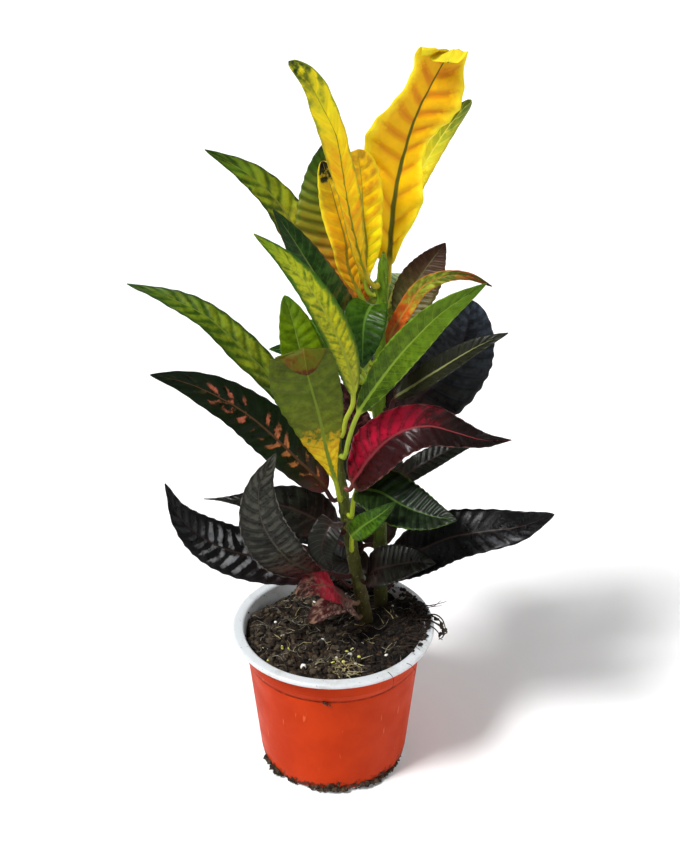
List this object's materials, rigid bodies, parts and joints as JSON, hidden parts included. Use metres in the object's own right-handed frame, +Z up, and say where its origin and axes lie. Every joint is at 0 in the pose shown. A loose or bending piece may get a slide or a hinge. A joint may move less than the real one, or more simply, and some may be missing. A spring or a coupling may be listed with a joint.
{
  "type": "potted croton",
  "caption": "Croton house plant with long wavy yellow, green, black and crimson leaves, in its terracotta coloured nursery pot.",
  "frame": {"origin": "centre of the pot's underside", "axes": "+Z up along the pot's axis, -Y towards the front, +X to the right as seen from the front"},
  "size_m": [0.2355, 0.1617, 0.4323],
  "materials": {
    "pot_plastic": "satin thermoformed plastic, terracotta with a white lip",
    "potting_mix": "matt, damp, grainy",
    "stem_bark": "matt green-brown bark with leaf scars",
    "leaf_yellow": "waxy, quilted between the veins",
    "leaf_orange": "waxy, quilted between the veins",
    "leaf_yellow_green": "waxy, yellow along the veins",
    "leaf_dark_green": "glossy, waxy",
    "leaf_black": "glossy, waxy",
    "leaf_crimson": "glossy, mottled",
    "leaf_dried": "dry, papery"
  },
  "bodies": {
    "root": {"pot": "pot_plastic", "soil": "potting_mix", "stem_tall": "stem_bark", "stem_short": "stem_bark", "leaf_tall_yellow": "leaf_yellow", "leaf_young_green": "leaf_yellow", "leaf_left_yellow": "leaf_yellow", "leaf_left_orange": "leaf_orange", "leaf_left_olive": "leaf_yellow_green", "leaf_left_dark_green": "leaf_dark_green", "leaf_left_inner_green": "leaf_dark_green", "leaf_centre_green": "leaf_dark_green", "leaf_right_brown": "leaf_dark_green", "leaf_right_twisted": "leaf_orange", "leaf_right_blue_black": "leaf_black", "leaf_right_olive_black": "leaf_black", "leaf_right_narrow_black": "leaf_black", "leaf_bottom_right_black": "leaf_black", "leaf_back_left_low": "leaf_black", "leaf_back_right_low": "leaf_black", "leaf_back_left_middle": "leaf_black", "leaf_back_right_middle": "leaf_black", "leaf_back_upper": "leaf_yellow_green", "leaf_back_left_upper": "leaf_dark_green", "leaf_back_centre": "leaf_black", "leaf_front_yellow_green": "leaf_yellow_green", "leaf_front_green": "leaf_yellow_green", "leaf_left_long_olive": "leaf_yellow_green", "leaf_left_black_green": "leaf_black", "leaf_front_charcoal": "leaf_black", "leaf_left_thin_black": "leaf_black", "leaf_inner_charcoal": "leaf_black", "leaf_bottom_left_charcoal": "leaf_black", "leaf_right_long_green": "leaf_yellow_green", "leaf_right_crimson": "leaf_crimson", "leaf_right_dark_green": "leaf_dark_green", "leaf_right_small_green": "leaf_dark_green", "leaf_bottom_inner_black": "leaf_black", "leaf_dried_left": "leaf_dried", "leaf_dried_front": "leaf_dried", "leaf_inner_yellow": "leaf_yellow", "leaf_back_low": "leaf_black", "leaf_back_right_upper": "leaf_dark_green", "leaf_back_green": "leaf_dark_green", "leaf_back_right_inner": "leaf_black", "leaf_left_gold": "leaf_yellow", "leaf_front_upper": "leaf_yellow_green", "leaf_centre_maroon": "leaf_black", "leaf_inner_black": "leaf_black"}
  },
  "joints": []
}
